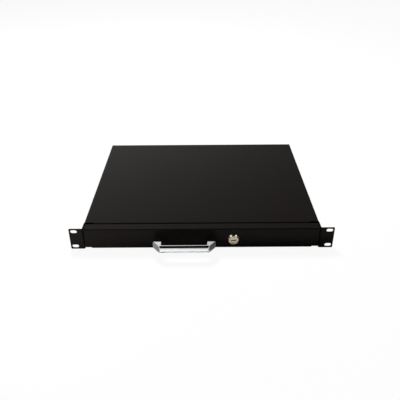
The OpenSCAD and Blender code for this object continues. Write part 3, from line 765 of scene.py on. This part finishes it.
@dataclass
class Studio:
    """Pale floor, soft lamps, white surround and the camera at the photograph's viewing angle."""

    camera_at: tuple[float, float, float] = (-1.185, -738.85, 518.96)
    pitch: float = 0.5355
    yaw: float = -0.0018
    roll: float = -0.0071
    lens_mm: float = 44.226
    sensor_mm: float = 36.0
    floor_drop: float = 0.2
    floor_half_m: float = 14.0
    floor_seen: float = 0.93
    # The floor glows in reflections only, fading from its full share at the left end to none at the right end
    # (in metres): a painted reflection of light from the front left.
    painted_reflection_share: float = 0.9
    painted_reflection_right: float = -0.035
    painted_reflection_left: float = -0.32
    ambient: float = 0.048
    behind_white_deg: float = 38.0
    behind_dark_deg: float = 48.0
    before_dark_deg: float = 142.0
    before_white_deg: float = 152.0

    def camera(self) -> None:
        """Places the camera: forward, right and up follow from yaw, pitch and roll."""
        sin_y, cos_y = math.sin(self.yaw), math.cos(self.yaw)
        sin_p, cos_p = math.sin(self.pitch), math.cos(self.pitch)
        forward = Vector((sin_y * cos_p, cos_y * cos_p, -sin_p))
        right = Vector((cos_y, -sin_y, 0.0))
        up = right.cross(forward)
        sin_r, cos_r = math.sin(self.roll), math.cos(self.roll)
        tilted_right = right * cos_r + up * sin_r
        tilted_up = up * cos_r - right * sin_r
        data = bpy.data.cameras.new("camera")
        data.lens = self.lens_mm
        data.sensor_width = self.sensor_mm
        data.clip_start = 0.01
        data.clip_end = 100.0
        viewer = bpy.data.objects.new("camera", data)
        turn = Matrix((tilted_right, tilted_up, -forward)).transposed().to_4x4()
        viewer.matrix_world = Matrix.Translation(Vector(self.camera_at) * MM) @ turn
        bpy.context.scene.collection.objects.link(viewer)
        bpy.context.scene.camera = viewer

    def floor(self) -> None:
        """Lays the floor: white to the camera and in reflections, with the object's shadow kept. Left of the
        drawer's middle it also glows in reflections only, a painted reflection of light from the front left
        that fades to nothing towards the middle.
        """
        half = self.floor_half_m / MM
        level = CAD_BOX[0][2] / MM - self.floor_drop
        x, y = np.meshgrid(np.linspace(-half, half, 5), np.linspace(-half, half, 5), indexing="ij")
        mesh = grid_mesh([np.stack([x, y, np.full_like(x, level)], -1)], False, False)
        material, tree, output = new_material("pale_matt_paper")
        path = add_node(tree, "ShaderNodeLightPath")
        seen = add_node(tree, "ShaderNodeMath", {"operation": "MULTIPLY"}, i0=path.outputs["Is Camera Ray"],
                        i1=self.floor_seen)
        place = add_node(tree, "ShaderNodeTexCoord").outputs["Object"]
        across = add_node(tree, "ShaderNodeSeparateXYZ", Vector=place)
        # Painted reflection: the floor glows in reflections only, from the full share at the left end to none
        # at the right end.
        painted_reflection_ramp = add_node(tree, "ShaderNodeMapRange", {"interpolation_type": "SMOOTHSTEP"},
                        Value=across.outputs[0], From_Min=self.painted_reflection_left, From_Max=self.painted_reflection_right,
                        To_Min=self.painted_reflection_share, To_Max=0.0)
        share = add_node(tree, "ShaderNodeMath", {"operation": "MULTIPLY_ADD"},
                         i0=path.outputs["Is Glossy Ray"], i1=painted_reflection_ramp.outputs[0], i2=seen.outputs[0])
        paper = add_node(tree, "ShaderNodeBsdfDiffuse", Color=linear("f4f4f4"))
        glow = add_node(tree, "ShaderNodeEmission", Color=(1.0, 1.0, 1.0, 1.0), Strength=1.0)
        mixed = add_node(tree, "ShaderNodeMixShader", i0=share.outputs[0], i1=paper.outputs[0],
                         i2=glow.outputs[0])
        tree.links.new(mixed.outputs[0], output.inputs[0])
        object_from_mesh("floor", mesh, material)

    def surround(self) -> None:
        """Sets the world: white to the camera, dark overhead in reflections and even for the light.

        The angle of a direction in the plane of Y and Z, 0 at the horizon behind the object and 90
        degrees overhead, goes through two ramps that leave the part from 48 to 142 degrees dark.
        """
        world = bpy.data.worlds.new("studio")
        bpy.context.scene.world = world
        world.use_nodes = True
        tree = world.node_tree
        tree.nodes.clear()
        output = add_node(tree, "ShaderNodeOutputWorld")
        way = add_node(tree, "ShaderNodeTexCoord").outputs["Generated"]
        parts = add_node(tree, "ShaderNodeSeparateXYZ", Vector=way)
        angle = add_node(tree, "ShaderNodeMath", {"operation": "ARCTAN2"}, i0=parts.outputs[2],
                         i1=parts.outputs[1])
        behind = add_node(tree, "ShaderNodeMapRange", {"interpolation_type": "SMOOTHSTEP"},
                          Value=angle.outputs[0], From_Min=math.radians(self.behind_white_deg),
                          From_Max=math.radians(self.behind_dark_deg), To_Min=1.0, To_Max=0.0)
        before = add_node(tree, "ShaderNodeMapRange", {"interpolation_type": "SMOOTHSTEP"},
                          Value=angle.outputs[0], From_Min=math.radians(self.before_dark_deg),
                          From_Max=math.radians(self.before_white_deg), To_Min=0.0, To_Max=0.85)
        glossy = add_node(tree, "ShaderNodeMath", {"operation": "ADD"}, i0=behind.outputs[0],
                          i1=before.outputs[0])
        left = add_node(tree, "ShaderNodeMapRange", Value=parts.outputs[0], From_Min=-0.22, From_Max=0.26,
                        To_Min=1.0, To_Max=0.25)
        right = add_node(tree, "ShaderNodeMapRange", {"interpolation_type": "SMOOTHSTEP"},
                         Value=parts.outputs[0], From_Min=0.36, From_Max=0.48, To_Min=0.0, To_Max=0.6)
        sides = add_node(tree, "ShaderNodeMath", {"operation": "ADD"}, i0=left.outputs[0],
                         i1=right.outputs[0])
        shaded = add_node(tree, "ShaderNodeMath", {"operation": "MULTIPLY"}, i0=glossy.outputs[0],
                          i1=sides.outputs[0])
        path = add_node(tree, "ShaderNodeLightPath")
        lit = add_node(tree, "ShaderNodeMix", {"data_type": "FLOAT"}, i0=path.outputs["Is Glossy Ray"],
                       i2=self.ambient, i3=shaded.outputs[0])
        seen = add_node(tree, "ShaderNodeMix", {"data_type": "FLOAT"}, i0=path.outputs["Is Camera Ray"],
                        i2=lit.outputs[0], i3=1.0)
        sky = add_node(tree, "ShaderNodeBackground", Color=(1.0, 1.0, 1.0, 1.0), Strength=seen.outputs[0])
        tree.links.new(sky.outputs[0], output.inputs[0])

    def lamp(self, name: str, at: tuple[float, float, float], size: float, watts: float,
             in_gloss: bool) -> None:
        """Hangs a soft square lamp that faces the drawer.

        Args:
            name: Name of the lamp.
            at: Place in metres.
            size: Side of the lamp in metres.
            watts: Power of the lamp.
            in_gloss: Whether only reflections show it; a lamp that they don't show lights the surfaces.
        """
        data = bpy.data.lights.new(name, "AREA")
        data.size = size
        data.energy = watts
        lamp = bpy.data.objects.new(name, data)
        lamp.location = at
        lamp.rotation_euler = (Vector((0.0, 0.15, 0.0)) - Vector(at)).to_track_quat("-Z", "Y").to_euler()
        lamp.visible_glossy = in_gloss
        lamp.visible_diffuse = not in_gloss
        lamp.visible_camera = False
        bpy.context.scene.collection.objects.link(lamp)

    def build(self) -> None:
        """Builds the camera, the floor, the surround and the lamps."""
        bpy.context.scene.view_settings.view_transform = "Standard"
        self.camera()
        self.floor()
        self.surround()
        self.lamp("key_lamp", (-0.45, 1.3, 2.0), 0.5, 76.0, False)
        self.lamp("fill_lamp", (0.5, -1.2, 1.4), 1.4, 0.8, False)
        self.lamp("low_left_lamp", (-0.36, -0.22, -0.008), 0.1, 1.0, False)
        self.lamp("left_strip", (-0.94, -0.08, 1.05), 0.42, 3.0, True)
        self.lamp("right_strip", (1.07, -0.03, 1.04), 0.42, 2.4, True)


def main() -> None:
    logging.basicConfig(level=logging.INFO, format="%(name)s: %(message)s")
    studio = Studio()
    studio.build()
    finishes = Finishes()
    finishes.build()
    for assembly in (SheetMetal(finishes), Slides(finishes), Fasteners(finishes), BridgeHandle(finishes),
                     CamLock(finishes)):
        LOG.info("assembly %s", type(assembly).__name__)
        assembly.build()


if __name__ == "__main__":
    main()
